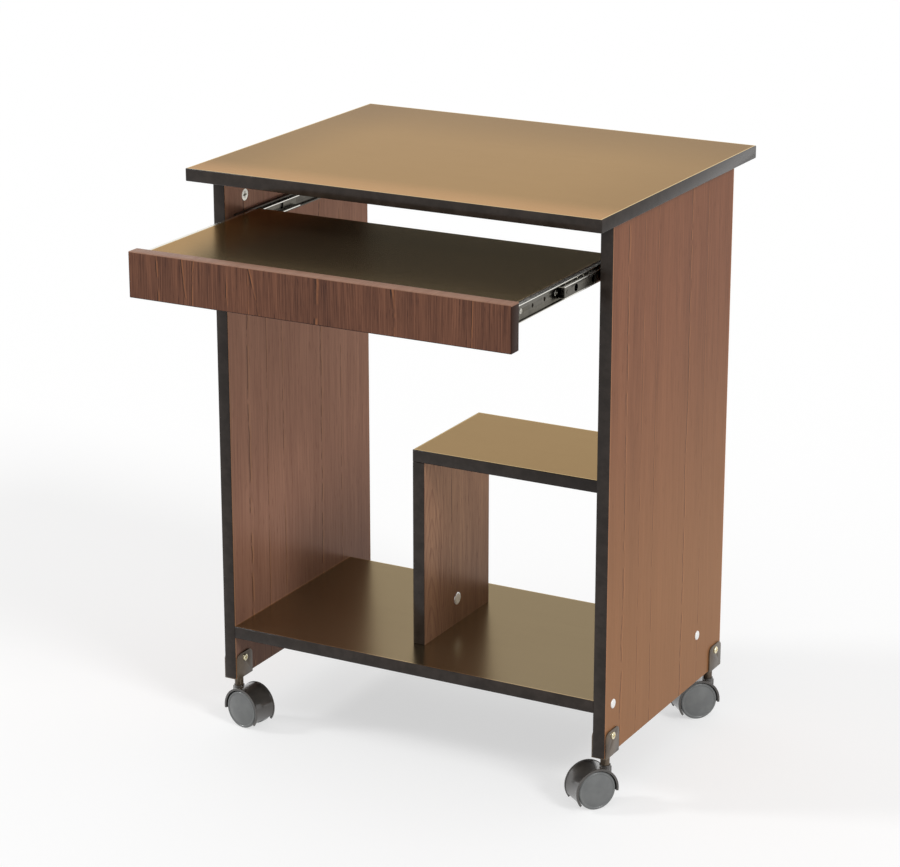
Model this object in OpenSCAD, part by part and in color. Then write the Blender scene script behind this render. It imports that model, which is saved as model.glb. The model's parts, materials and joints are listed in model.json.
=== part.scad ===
// Rolling computer table: a worktop on two side panels, a full-width bottom shelf, a raised
// half-width shelf on an upright, and a keyboard tray on telescopic slides, on four casters.
// Front is towards -Y and z = 0 is the floor. The tray stands pulled out, and the origin is
// the middle of the whole table's outline on the floor.

/* [Boards] */
// Width of the worktop, left to right
top_w = 560; // [520:5:640]
// Depth of the worktop, front to back
top_d = 450; // [430:5:520]
// Height of the worktop's upper face above the floor
table_h = 750; // [720:5:800]
// Thickness of every board except the tray's front
board_t = 16; // [16:0.5:18]
// Thickness of the edge bands
band_t = 1; // [0.5:0.1:2]
// Overhang of the worktop past each side panel
side_overhang = 8; // [4:1:20]
// Distance from the worktop's front edge back to the side panels
panel_setback = 48; // [30:1:60]
// Depth of the side panels
panel_d = 352; // [346:2:370]

/* [Shelves] */
// Height of the bottom shelf's underside above the side panels' lower edges
shelf_lift = 57; // [50:1:90]
// Depth of the bottom shelf
shelf_d = 296; // [270:2:340]
// Width of the raised shelf, from the right panel to the upright's left face
small_shelf_w = 282; // [220:2:330]
// Depth of the raised shelf and of its upright
small_shelf_d = 176; // [166:2:210]
// Distance from the side panels' front edges back to the raised shelf
small_shelf_setback = 60; // [20:2:80]
// Height of the upright under the raised shelf
upright_h = 243; // [180:1:300]

/* [Keyboard tray] */
// Clear height between the worktop's underside and the tray
tray_drop = 52; // [50:1:80]
// Depth of the tray board behind its front
tray_d = 256; // [254:2:290]
// Height of the tray's front
fascia_h = 56; // [50:1:70]
// Thickness of the tray's front
fascia_t = 18; // [16:1:22]
// Height of the tray's front above the tray's upper face
fascia_rise = 5; // [0:1:8]
// Gap between each end of the tray's front and the side panel
fascia_gap = 4; // [2:0.5:6]
// How far the tray is pulled out
pull_out = 215; // [0:5:225]

/* [Telescopic slides] */
// Length of each rail, which is also the slides' full travel
slide_l = 250; // [236:2:252]
// Width of the gap between side panel and tray that a slide fills
slide_t = 12.5; // [12:0.25:14]
// Height of the cabinet rails and the tray rails
slide_h = 21; // [20:0.5:24]
// Sheet thickness of the rails
rail_t = 1.2; // [1:0.1:1.4]
// Height of the lips turned in at the rails' edges
rail_lip = 0.6; // [0.4:0.1:0.6]
// Diameter of the balls
ball_d = 2; // [1.8:0.1:2.2]
// Number of balls in one row
ball_count = 8; // [4:1:12]
// Sheet thickness of the ball cages
cage_t = 0.5; // [0.4:0.1:0.6]
// Depth of the slides' centre line below the tray's upper face
slide_sink = 11.5; // [9:0.5:12]
// Distance from the back of the tray's front to the rails' front ends
slide_start = 2; // [1:0.5:6]

/* [Casters] */
// Diameter of the wheels
wheel_d = 50; // [44:1:56]
// Width of one wheel
wheel_w = 12; // [11:0.5:16]
// Gap between the two wheels of a caster
wheel_gap = 9; // [9:0.5:13]
// Distance from the swivel axis to the axle
trail = 18; // [16:0.5:22]
// Gap between wheel and hood
hood_gap = 1; // [0.6:0.1:2]
// Wall of the hood
hood_t = 2; // [1.5:0.1:3]
// Diameter of the axle
axle_d = 5; // [4:0.5:6]
// Diameter of the swivel pin
pin_d = 6; // [5:0.5:7]
// Length of the swivel pin inside the hood
pin_l = 20; // [16:1:21]
// Diameter of the neck above the hood
neck_d = 11.5; // [10:0.5:13]
// Height of the neck, from hood to bracket
neck_h = 14; // [7:0.5:18]
// Heading of the front right caster, in degrees
heading_fr = -127.7; // [-180:0.1:180]
// Heading of the front left caster, in degrees
heading_fl = -11.5; // [-180:0.1:180]
// Heading of the back right caster, in degrees
heading_br = -134.2; // [-180:0.1:180]

/* [Caster brackets] */
// Sheet thickness of the brackets
bracket_t = 2; // [1.5:0.25:3]
// Width of a bracket along the panel
bracket_w = 36; // [28:1:36]
// Height of a bracket's legs above the panel's lower edge
bracket_h = 32; // [31:1:44]
// Radius of the legs' upper corners
bracket_corner_r = 8; // [6:1:12]
// Height of the bolts above the panel's lower edge
bolt_rise = 24; // [18:1:26]
// Distance from the panels' front edges to the front swivel axes
front_inset = 20; // [18:1:40]
// Distance from the panels' back edges to the back swivel axes
back_inset = 19; // [18:1:40]

/* [Fasteners] */
// Diameter of the cam housings
cam_d = 15; // [14:0.5:16]
// Depth of the cam housings
cam_h = 12; // [11:0.5:13]
// Distance from the joint to the cam's centre
cam_reach = 34; // [28:1:36]
// Distance from the side panels' edges to their cams
cam_inset = 48; // [36:1:60]
// Diameter of the dowels
dowel_d = 8; // [6:0.5:9]
// Depth of the dowels in a board's face
dowel_face = 11; // [8:0.5:12]
// Depth of the dowels in a board's edge
dowel_edge = 19; // [15:1:24]
// Length of the shelf screws
shelf_screw_l = 50; // [40:1:60]
// Shank diameter of the shelf screws
shelf_screw_d = 7; // [6:0.5:7.5]
// Distance from the bottom shelf's edges to its screws
shelf_screw_inset = 22; // [16:1:30]
// Diameter of the white caps over the shelf screws
cap_d = 12; // [11:0.5:14]
// Thickness of the white caps
cap_h = 1.5; // [1:0.1:2]
// Shank diameter of the slide screws
slide_screw_d = 3.4; // [3:0.1:3.6]
// Length of the slide screws in the wood
slide_screw_l = 13; // [10:0.5:14]
// Diameter of the bracket bolts' heads
bolt_head_d = 9.5; // [8:0.5:11]

/* [Hidden] */
$fn = 48;

// Running clearance on the radius of every pin, screw, dowel and ball
fit = 0.05;
// Clearance between a turning or sliding face and its neighbour
slip = 0.35;

laminate = [0.42, 0.29, 0.21];
walnut = [0.31, 0.19, 0.15];
band_black = [0.13, 0.12, 0.12];
zinc = [0.72, 0.72, 0.70];
dark_steel = [0.32, 0.30, 0.28];
beech = [0.78, 0.64, 0.45];
cap_white = [0.95, 0.95, 0.93];
caster_brown = [0.20, 0.19, 0.18];
wheel_grey = [0.30, 0.30, 0.30];

// Heights, from the casters up
wheel_r = wheel_d / 2;
hood_r = wheel_r + hood_gap + hood_t;
boss_drop = 2;
boss_z = wheel_r + hood_r - boss_drop;
panel_z0 = boss_z + neck_h + bracket_t;
top_z0 = table_h - board_t;
shelf_z0 = panel_z0 + shelf_lift;
shelf_z1 = shelf_z0 + board_t;
small_z0 = shelf_z1 + upright_h;
tray_z1 = top_z0 - tray_drop;
tray_z0 = tray_z1 - board_t;
fascia_z1 = tray_z1 + fascia_rise;
fascia_z0 = fascia_z1 - fascia_h;
slide_z = tray_z1 - slide_sink;

// Places across the table
outer_x = top_w / 2 - side_overhang;
inner_x = outer_x - board_t;
panel_mid_x = outer_x - board_t / 2;
small_x0 = inner_x - small_shelf_w;
tray_x = inner_x - slide_t;
fascia_x = inner_x - fascia_gap;

// Places from front to back: the outline runs from the tray's front to the worktop's back
top_y0 = -(panel_setback - pull_out + top_d) / 2;
top_y1 = top_y0 + top_d;
panel_y0 = top_y0 + panel_setback;
panel_y1 = panel_y0 + panel_d;
shelf_y1 = panel_y0 + shelf_d;
small_y0 = panel_y0 + small_shelf_setback;
small_y1 = small_y0 + small_shelf_d;
small_mid_y = (small_y0 + small_y1) / 2;
fascia_y0 = panel_y0 - pull_out;
tray_y0 = fascia_y0 + fascia_t;
tray_y1 = tray_y0 + tray_d;

// Slides: a section is drawn with u running from the side panel towards the tray. Cabinet
// rail and tray rail face each other, and the middle rail runs inside both of them.
rail_depth = slide_t / 2 - 0.75;
middle_u = rail_t + cage_t + 2 * slip;
middle_depth = slide_t - 2 * middle_u;
ball_u = rail_depth - rail_t - fit - ball_d / 2;
ball_z = slide_h / 2 - rail_t - fit - ball_d / 2;
middle_h = 2 * (ball_z - ball_d / 2 - fit);
cage_u = rail_t + slip;
rail_y = panel_y0 + fascia_t + slide_start;
cage_l = slide_l / 2 - 7;
cage_start = slide_l / 4 + 1;
cage_end_margin = 6;
cabinet_screw_places = [30, 120, 215];
tray_screw_places = [17, 104, 200];
middle_hole_places = [30, 75, 120, 165, 215];
middle_hole_d = 9;
tray_hole_places = [45, 75, 150, 178];
tray_hole_d = 5;
stop_rivet_place = 8;
stop_rivet_r = 1.4;
stop_rivet_head_r = 2.4;
stop_rivet_head_h = 0.6;

// Casters
wheel_side = wheel_gap / 2;
caster_side = wheel_side + wheel_w;
hood_lip = 0.5;
hood_w = 2 * (caster_side + hood_lip);
web_t = wheel_gap - 2 * slip;
axle_cap = 1;
pin_floor = 2;
heading_bl = heading_fr + 180;
FRONT_LEFT = [-panel_mid_x, panel_y0 + front_inset, heading_fl];
FRONT_RIGHT = [panel_mid_x, panel_y0 + front_inset, heading_fr];
BACK_LEFT = [-panel_mid_x, panel_y1 - back_inset, heading_bl];
BACK_RIGHT = [panel_mid_x, panel_y1 - back_inset, heading_br];
CASTERS = [FRONT_LEFT, FRONT_RIGHT, BACK_LEFT, BACK_RIGHT];

// Joints between boards: place, turn. Local +Z runs from the edge-drilled board into the
// face-drilled one, and local +X points out of the face that a cam is set into.
upright_x = small_x0 + board_t / 2;
small_mid_z = small_z0 + board_t / 2;
shelf_mid_z = shelf_z0 + board_t / 2;
top_cams = [for (s = [-1, 1], y = [panel_y0 + cam_inset, panel_y1 - cam_inset])
    [[s * panel_mid_x, y, top_z0], [0, 0, s > 0 ? 180 : 0]]];
foot_cam = [[upright_x, small_mid_y, shelf_z1], [180, 0, 0]];
head_cam = [[upright_x, small_mid_y, small_z0], [0, 0, 180]];
small_cam_pitch = 96;
small_shelf_cams = [for (s = [-1, 1])
    [[inner_x, small_mid_y + s * small_cam_pitch / 2, small_mid_z], [0, 90, 0]]];
cam_joints = concat(top_cams, [foot_cam, head_cam], small_shelf_cams);

top_dowel_pitch = 64;
shelf_dowel_pitch = 80;
upright_dowel_pitch = 112;
shelf_mid_y = (panel_y0 + shelf_y1) / 2;
top_dowels = [for (s = [-1, 1], y = [panel_y0 + cam_inset + top_dowel_pitch,
    panel_y1 - cam_inset - top_dowel_pitch]) [[s * panel_mid_x, y, top_z0], [0, 0, 0]]];
shelf_dowels = [for (s = [-1, 1], e = [-1, 1])
    [[s * inner_x, shelf_mid_y + e * shelf_dowel_pitch / 2, shelf_mid_z], [0, s * 90, 0]]];
foot_dowels = [for (e = [-1, 1])
    [[upright_x, small_mid_y + e * upright_dowel_pitch / 2, shelf_z1], [180, 0, 0]]];
head_dowels = [for (e = [-1, 1])
    [[upright_x, small_mid_y + e * upright_dowel_pitch / 2, small_z0], [0, 0, 0]]];
small_shelf_dowel = [[inner_x, small_mid_y, small_mid_z], [0, 90, 0]];
dowel_joints = concat(top_dowels, shelf_dowels, foot_dowels, head_dowels,
    [small_shelf_dowel]);

tray_mid_z = tray_z0 + board_t / 2;
fascia_cam_pitch = 320;
fascia_dowel_pitch = 200;
fascia_cams = [for (s = [-1, 1]) [[s * fascia_cam_pitch / 2, tray_y0, tray_mid_z], [90, 90, 0]]];
fascia_dowels = [for (s = [-1, 1])
    [[s * fascia_dowel_pitch / 2, tray_y0, tray_mid_z], [90, 0, 0]]];

// Shelf screws: local +Z points out of the panel's outer face
shelf_screw_places = [for (s = [-1, 1], y = [panel_y0 + shelf_screw_inset,
    shelf_y1 - shelf_screw_inset]) [[s * outer_x, y, shelf_mid_z], [0, s * 90, 0]]];

// A C section open towards +u, with its lips turned in
function channel(depth, height, t, lip) =
    let (h = height / 2)
    [[0, -h], [depth, -h], [depth, -h + t + lip], [depth - t, -h + t + lip], [depth - t, -h + t],
     [t, -h + t], [t, h - t], [depth - t, h - t], [depth - t, h - t - lip],
     [depth, h - t - lip], [depth, h], [0, h]];

// The same section with plain flanges
function plain_channel(depth, height, t) =
    let (h = height / 2)
    [[0, -h], [depth, -h], [depth, -h + t], [t, -h + t], [t, h - t], [depth, h - t],
     [depth, h], [0, h]];

module at_joint(j) {
    translate(j[0]) rotate(j[1]) children();
}

module block(low, high) {
    translate(low) cube(high - low);
}

// Left-hand pieces as drawn, or mirrored for the right-hand side
module hand(side) {
    if (side == "right") mirror([1, 0, 0]) children();
    else children();
}

module both_hands() {
    children();
    mirror([1, 0, 0]) children();
}

// Cam fittings
cam_recess = 0.3;
cam_shank_r = 2.5;
cam_neck_r = 1.6;
cam_head_r = 3;
cam_head_l = 3;
cam_neck_l = 3.5;
cam_thread_l = 10.5;
cam_edge_bore_r = 4;
cam_drive_r = 2;

module cam_cut() {
    translate([board_t / 2 - cam_h, 0, -cam_reach])
        rotate([0, 90, 0]) cylinder(h = cam_h + 1, r = cam_d / 2);
    translate([0, 0, -cam_reach]) cylinder(h = cam_reach, r = cam_edge_bore_r);
    cylinder(h = cam_thread_l + 0.5, r = cam_shank_r + fit);
}

module cam_housing() {
    color(zinc) difference() {
        translate([board_t / 2 - cam_h, 0, -cam_reach])
            rotate([0, 90, 0]) cylinder(h = cam_h - cam_recess, r = cam_d / 2 - fit);
        translate([0, 0, -cam_reach - cam_head_r])
            cylinder(h = cam_d, r = cam_head_r + slip);
        translate([board_t / 2 - 3, 0, -cam_reach])
            rotate([0, 90, 0]) cylinder(h = 4, r = cam_drive_r);
        for (a = [0, 90])
            translate([board_t / 2, 0, -cam_reach]) rotate([a, 0, 0])
                cube([4, 9, 1.4], center = true);
    }
}

module cam_bolt() {
    color(zinc) union() {
        cylinder(h = cam_thread_l, r = cam_shank_r);
        translate([0, 0, -cam_reach + cam_neck_l])
            cylinder(h = cam_reach - cam_neck_l, r = cam_shank_r);
        translate([0, 0, -3]) cylinder(h = 3, r = cam_edge_bore_r - fit);
        translate([0, 0, -cam_reach]) cylinder(h = cam_neck_l + 1, r = cam_neck_r);
        translate([0, 0, -cam_reach - cam_head_l / 2]) cylinder(h = cam_head_l, r = cam_head_r);
    }
}

module dowel_cut() {
    translate([0, 0, -dowel_edge - 0.5])
        cylinder(h = dowel_edge + dowel_face + 1, r = dowel_d / 2 + fit);
}

module dowel() {
    chamfer = 1;
    color(beech) union() {
        translate([0, 0, -dowel_edge + chamfer])
            cylinder(h = dowel_edge + dowel_face - 2 * chamfer, r = dowel_d / 2);
        translate([0, 0, -dowel_edge])
            cylinder(h = chamfer, r1 = dowel_d / 2 - chamfer, r2 = dowel_d / 2);
        translate([0, 0, dowel_face - chamfer])
            cylinder(h = chamfer, r1 = dowel_d / 2, r2 = dowel_d / 2 - chamfer);
    }
}

// Shelf screws, their holes and caps
screw_head_h = 4;
screw_head_r = 5;
screw_tip_l = 4;
screw_core_r = shelf_screw_d / 2 - 0.5;
hex_r = 2.31;
hex_depth = 2.5;

module shelf_screw_body(gap) {
    shank_r = shelf_screw_d / 2 + gap;
    translate([0, 0, -screw_head_h])
        cylinder(h = screw_head_h, r1 = shank_r, r2 = screw_head_r + gap);
    translate([0, 0, -board_t]) cylinder(h = board_t - screw_head_h + 0.01, r = shank_r);
    translate([0, 0, -shelf_screw_l + screw_tip_l])
        cylinder(h = shelf_screw_l - screw_tip_l - board_t + 0.01, r = screw_core_r + gap);
    translate([0, 0, -shelf_screw_l])
        cylinder(h = screw_tip_l + 0.01, r1 = 0.5 + gap, r2 = screw_core_r + gap);
}

module shelf_screw() {
    color(zinc) difference() {
        shelf_screw_body(0);
        translate([0, 0, -hex_depth]) cylinder(h = hex_depth + 1, r = hex_r, $fn = 6);
    }
}

module screw_cap() {
    rim = 0.6;
    peg_r = 1.85;
    peg_l = 2;
    color(cap_white) union() {
        cylinder(h = cap_h - rim, r = cap_d / 2);
        translate([0, 0, cap_h - rim]) cylinder(h = rim, r1 = cap_d / 2, r2 = cap_d / 2 - 1.2);
        translate([0, 0, -peg_l]) cylinder(h = peg_l + 0.1, r = peg_r);
    }
}

module foot_cover() {
    cover_r = cam_d / 2 + 0.8;
    cover_h = 1.2;
    peg_l = 1.8;
    color(cap_white) union() {
        translate([board_t / 2, 0, -cam_reach])
            rotate([0, 90, 0]) cylinder(h = cover_h, r1 = cover_r, r2 = cover_r - 0.5);
        translate([board_t / 2 - peg_l, 0, -cam_reach])
            rotate([0, 90, 0]) cylinder(h = peg_l + 0.1, r = cam_drive_r - 0.1);
    }
}

// Screws of the slides, on the left side: u is the distance from the panel's inner face
csk_head_r = 3.5;
csk_head_h = 2;

module slide_screw_body(gap) {
    r = slide_screw_d / 2 + gap;
    translate([rail_t - csk_head_h, 0, 0])
        rotate([0, 90, 0]) cylinder(h = csk_head_h, r1 = r, r2 = csk_head_r + gap);
    translate([-slide_screw_l, 0, 0])
        rotate([0, 90, 0]) cylinder(h = slide_screw_l + rail_t - csk_head_h + 0.01, r = r);
}

module at_cabinet_screws() {
    for (y = cabinet_screw_places) translate([-inner_x, rail_y + y, slide_z]) children();
}

module at_tray_screws() {
    for (y = tray_screw_places)
        translate([-tray_x, rail_y - pull_out + y, slide_z]) mirror([1, 0, 0]) children();
}

// Caster brackets: local origin on the panel's lower edge, at the swivel axis
leg_r = bracket_w / 2;
bolt_shank_r = 2;
sleeve_r = 3;
bolt_head_h = 1.8;
tenon_r = 3.4;
rivet_r = 5;
rivet_h = 1.5;

module at_bracket(c) {
    translate([c[0], c[1], panel_z0]) children();
}

module bracket_cuts() {
    for (c = CASTERS) at_bracket(c) {
        rotate([0, 90, 0]) translate([-bolt_rise, 0, 0])
            cylinder(h = board_t + 2 * bracket_t + 2, r = sleeve_r + fit, center = true);
        translate([0, 0, -1]) cylinder(h = rivet_h + slip + 1, r = rivet_r + slip);
    }
}

// Everything that is drilled into the table's own boards
module frame_cuts() {
    for (j = cam_joints) at_joint(j) cam_cut();
    for (j = dowel_joints) at_joint(j) dowel_cut();
    for (j = shelf_screw_places) at_joint(j) shelf_screw_body(fit);
    both_hands() at_cabinet_screws() slide_screw_body(fit);
    bracket_cuts();
}

module tray_cuts() {
    for (j = fascia_cams) at_joint(j) cam_cut();
    for (j = fascia_dowels) at_joint(j) dowel_cut();
    both_hands() at_tray_screws() slide_screw_body(fit);
}

// Boards
module top_board() {
    b = [band_t, band_t, 0];
    color(laminate) difference() {
        block([-top_w / 2, top_y0, top_z0] + b, [top_w / 2, top_y1, table_h] - b);
        frame_cuts();
    }
}

module top_edge_bands() {
    x = top_w / 2;
    color(band_black) {
        block([-x, top_y0, top_z0], [x, top_y0 + band_t, table_h]);
        block([-x, top_y1 - band_t, top_z0], [x, top_y1, table_h]);
        both_hands() block([-x, top_y0 + band_t, top_z0], [-x + band_t, top_y1 - band_t, table_h]);
    }
}

module side_panel(side) {
    color(laminate) difference() {
        hand(side) block([-outer_x, panel_y0 + band_t, panel_z0],
            [-inner_x, panel_y1 - band_t, top_z0]);
        frame_cuts();
    }
}

// The front and back bands of a board that stands or lies between two heights
module band_pair(x0, x1, y0, y1, z0, z1) {
    color(band_black) {
        block([x0, y0, z0], [x1, y0 + band_t, z1]);
        block([x0, y1 - band_t, z0], [x1, y1, z1]);
    }
}

module side_panel_bands(side) {
    hand(side) band_pair(-outer_x, -inner_x, panel_y0, panel_y1, panel_z0, top_z0);
}

module bottom_shelf() {
    color(laminate) difference() {
        block([-inner_x, panel_y0 + band_t, shelf_z0], [inner_x, shelf_y1 - band_t, shelf_z1]);
        frame_cuts();
    }
}

module bottom_shelf_edge_bands() {
    band_pair(-inner_x, inner_x, panel_y0, shelf_y1, shelf_z0, shelf_z1);
}

module small_shelf() {
    color(laminate) difference() {
        block([small_x0 + band_t, small_y0 + band_t, small_z0],
            [inner_x, small_y1 - band_t, small_z0 + board_t]);
        frame_cuts();
    }
}

module small_shelf_edge_bands() {
    band_pair(small_x0, inner_x, small_y0, small_y1, small_z0, small_z0 + board_t);
    color(band_black) block([small_x0, small_y0 + band_t, small_z0],
        [small_x0 + band_t, small_y1 - band_t, small_z0 + board_t]);
}

module upright() {
    color(laminate) difference() {
        block([small_x0, small_y0 + band_t, shelf_z1],
            [small_x0 + board_t, small_y1 - band_t, small_z0]);
        frame_cuts();
    }
}

module upright_edge_bands() {
    band_pair(small_x0, small_x0 + board_t, small_y0, small_y1, shelf_z1, small_z0);
}

// Keyboard tray
module tray_board() {
    color(laminate) difference() {
        block([-tray_x + band_t, tray_y0, tray_z0], [tray_x - band_t, tray_y1 - band_t, tray_z1]);
        tray_cuts();
    }
}

module tray_edge_bands() {
    color(band_black) {
        block([-tray_x, tray_y1 - band_t, tray_z0], [tray_x, tray_y1, tray_z1]);
        difference() {
            both_hands() block([-tray_x, tray_y0, tray_z0],
                [-tray_x + band_t, tray_y1 - band_t, tray_z1]);
            tray_cuts();
        }
    }
}

module tray_fascia() {
    b = [band_t, 0, band_t];
    color(walnut) difference() {
        block([-fascia_x, fascia_y0, fascia_z0] + b, [fascia_x, tray_y0, fascia_z1] - b);
        tray_cuts();
    }
}

module fascia_edge_bands() {
    color(walnut) {
        block([-fascia_x, fascia_y0, fascia_z1 - band_t], [fascia_x, tray_y0, fascia_z1]);
        block([-fascia_x, fascia_y0, fascia_z0], [fascia_x, tray_y0, fascia_z0 + band_t]);
        both_hands() block([-fascia_x, fascia_y0, fascia_z0 + band_t],
            [-fascia_x + band_t, tray_y0, fascia_z1 - band_t]);
    }
}

// Board fasteners
module dowels() {
    for (j = dowel_joints) at_joint(j) dowel();
}

module cam_housings() {
    for (j = cam_joints) at_joint(j) cam_housing();
}

module cam_bolts() {
    for (j = cam_joints) at_joint(j) cam_bolt();
}

module cam_cover() {
    at_joint(foot_cam) foot_cover();
}

module shelf_screws() {
    for (j = shelf_screw_places) at_joint(j) shelf_screw();
}

module screw_caps() {
    for (j = shelf_screw_places) at_joint(j) screw_cap();
}

module tray_dowels() {
    for (j = fascia_dowels) at_joint(j) dowel();
}

module tray_cam_housings() {
    for (j = fascia_cams) at_joint(j) cam_housing();
}

module tray_cam_bolts() {
    for (j = fascia_cams) at_joint(j) cam_bolt();
}

// Slides
module along_slide(start, length) {
    translate([-inner_x, start + length, slide_z])
        rotate([90, 0, 0]) linear_extrude(height = length) children();
}

module cabinet_rail(side) {
    hand(side) color(zinc) difference() {
        along_slide(rail_y, slide_l) polygon(channel(rail_depth, slide_h, rail_t, rail_lip));
        at_cabinet_screws() slide_screw_body(fit);
    }
}

// Along +X from the outer face of the middle rail's web, at a distance from its front end
module at_middle_web(place) {
    translate([-inner_x + middle_u, rail_y - pull_out / 2 + place, slide_z])
        rotate([0, 90, 0]) children();
}

module stop_rivet() {
    h = stop_rivet_head_h;
    translate([0, 0, -h]) cylinder(h = rail_t + 2 * h, r = stop_rivet_r);
    for (z = [-h, rail_t]) translate([0, 0, z]) cylinder(h = h, r = stop_rivet_head_r);
}

module middle_rail(side) {
    hand(side) color(zinc) {
        difference() {
            along_slide(rail_y - pull_out / 2, slide_l)
                translate([middle_u, 0]) polygon(channel(middle_depth, middle_h, rail_t, rail_lip));
            for (y = middle_hole_places) at_middle_web(y)
                cylinder(h = 3 * rail_t, r = middle_hole_d / 2, center = true);
            at_middle_web(stop_rivet_place)
                cylinder(h = 3 * rail_t, r = stop_rivet_r + fit, center = true);
        }
        at_middle_web(stop_rivet_place) stop_rivet();
    }
}

module tray_rail(side) {
    hand(side) color(zinc) difference() {
        along_slide(rail_y - pull_out, slide_l)
            translate([slide_t, 0]) mirror([1, 0])
                polygon(channel(rail_depth, slide_h, rail_t, rail_lip));
        at_tray_screws() slide_screw_body(fit);
        for (y = tray_hole_places) translate([-tray_x, rail_y - pull_out + y, slide_z])
            rotate([0, 90, 0]) cylinder(h = 3 * rail_t, r = tray_hole_d / 2, center = true);
    }
}

// Cages and balls are drawn for the cabinet rail, and this turns them round for the tray rail
module facing_tray() {
    translate([-inner_x - tray_x, 0, 0]) mirror([1, 0, 0]) children();
}

// A row of balls, or of their holes, above and below a slide's centre line
module at_balls(front) {
    pitch = (cage_l - 2 * cage_end_margin) / (ball_count - 1);
    for (s = [-1, 1], i = [0 : ball_count - 1])
        translate([-inner_x + ball_u, front + cage_end_margin + i * pitch, slide_z + s * ball_z])
            children();
}

module ball_cage(front) {
    reach = ball_u + ball_d / 2 + 0.5 - cage_u;
    color(dark_steel) difference() {
        along_slide(front, cage_l) translate([cage_u, 0])
            polygon(plain_channel(reach, 2 * ball_z + cage_t, cage_t));
        at_balls(front) cylinder(h = ball_d, r = ball_d / 2 + fit, center = true);
    }
}

// Outer cages roll a quarter as far as the tray, and inner cages three quarters
outer_cage_y = rail_y + cage_start - pull_out / 4;
inner_cage_y = rail_y + cage_start - 3 * pull_out / 4;

module outer_ball_cages() {
    both_hands() ball_cage(outer_cage_y);
}

module outer_balls() {
    both_hands() at_balls(outer_cage_y) color(zinc) sphere(d = ball_d);
}

module inner_ball_cages() {
    both_hands() facing_tray() ball_cage(inner_cage_y);
}

module inner_balls() {
    both_hands() facing_tray() at_balls(inner_cage_y) color(zinc) sphere(d = ball_d);
}

module cabinet_rail_screws() {
    both_hands() color(zinc) at_cabinet_screws() slide_screw_body(0);
}

module tray_rail_screws() {
    both_hands() color(zinc) at_tray_screws() slide_screw_body(0);
}

// Brackets and what hangs from them. A leg is a plate with two round upper corners.
module bracket_leg() {
    half = bracket_t / 2;
    side = leg_r - bracket_corner_r;
    block([-half, -leg_r, -bracket_t], [half, leg_r, bracket_h - bracket_corner_r]);
    block([-half, -side, -bracket_t], [half, side, bracket_h]);
    for (y = [-side, side]) translate([0, y, bracket_h - bracket_corner_r])
        rotate([0, 90, 0]) cylinder(h = bracket_t, r = bracket_corner_r, center = true);
}

module bracket(c) {
    gap = board_t / 2;
    at_bracket(c) color(dark_steel) difference() {
        union() {
            block([-gap - bracket_t, -leg_r, -bracket_t], [gap + bracket_t, leg_r, 0]);
            for (s = [-1, 1]) translate([s * (gap + bracket_t / 2), 0, 0]) bracket_leg();
        }
        translate([0, 0, -bracket_t - 1]) cylinder(h = bracket_t + 2, r = tenon_r + fit);
        translate([0, 0, bolt_rise]) rotate([0, 90, 0])
            cylinder(h = board_t + 2 * bracket_t + 2, r = sleeve_r + fit, center = true);
    }
}

// Bolt heads lie on the outer leg, and the sleeve nuts on the inner one
module toward_outside(c) {
    at_bracket(c) translate([0, 0, bolt_rise]) rotate([0, c[0] > 0 ? 90 : -90, 0]) children();
}

grip = board_t / 2 + bracket_t;

module bracket_bolts() {
    shank_l = board_t / 2;
    for (c = CASTERS) toward_outside(c) color(zinc) union() {
        translate([0, 0, grip])
            cylinder(h = bolt_head_h, r1 = bolt_head_d / 2, r2 = bolt_head_d / 2 - 1);
        translate([0, 0, grip - bracket_t])
            cylinder(h = bracket_t + 0.1, r = sleeve_r);
        translate([0, 0, grip - bracket_t - shank_l])
            cylinder(h = shank_l + 0.1, r = bolt_shank_r);
    }
}

module bracket_sleeve_nuts() {
    for (c = CASTERS) toward_outside(c) color(zinc) difference() {
        union() {
            translate([0, 0, -grip - bolt_head_h])
                cylinder(h = bolt_head_h, r1 = bolt_head_d / 2 - 1, r2 = bolt_head_d / 2);
            translate([0, 0, -grip - 0.1]) cylinder(h = 2 * grip - bracket_t - slip, r = sleeve_r);
        }
        translate([0, 0, -grip]) cylinder(h = 2 * grip, r = bolt_shank_r + fit);
    }
}

module caster_stems() {
    for (c = CASTERS) at_bracket(c) color(zinc) union() {
        cylinder(h = rivet_h, r = rivet_r);
        translate([0, 0, -bracket_t]) cylinder(h = bracket_t + 0.1, r = tenon_r);
        translate([0, 0, -bracket_t - neck_h + slip]) cylinder(h = neck_h - slip, r = neck_d / 2);
        translate([0, 0, -bracket_t - neck_h - pin_l])
            cylinder(h = pin_l + 1, r = pin_d / 2);
    }
}

// Casters: local origin on the floor at the swivel axis, with the axle along local Y
shell_tip_angle = -24;
rim_tip_angle = -36;
heel_angle = 8;
boss_r = 7;
boss_h = 9;
rim_h = 0.8;
rim_w = 1.8;
web_rise = 4;
web_drop = 2;
web_foot = 10;

module at_caster(c) {
    translate([c[0], c[1], 0]) rotate([0, 0, c[2]]) children();
}

// Turns the next shape's Z axis along the axle
module at_axle() {
    translate([trail, 0, wheel_r]) rotate([-90, 0, 0]) children();
}

// Sector of the caster's side view, from the hood's tip over the wheels to its heel
module hood_sector(tip) {
    reach = 2 * hood_r;
    points = [[0, 0], [reach, reach * tan(tip)], [reach, reach], [-reach, reach],
        [-reach, -reach * tan(heel_angle)]];
    translate([trail, reach, wheel_r]) rotate([90, 0, 0])
        linear_extrude(height = 2 * reach) polygon(points);
}

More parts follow.
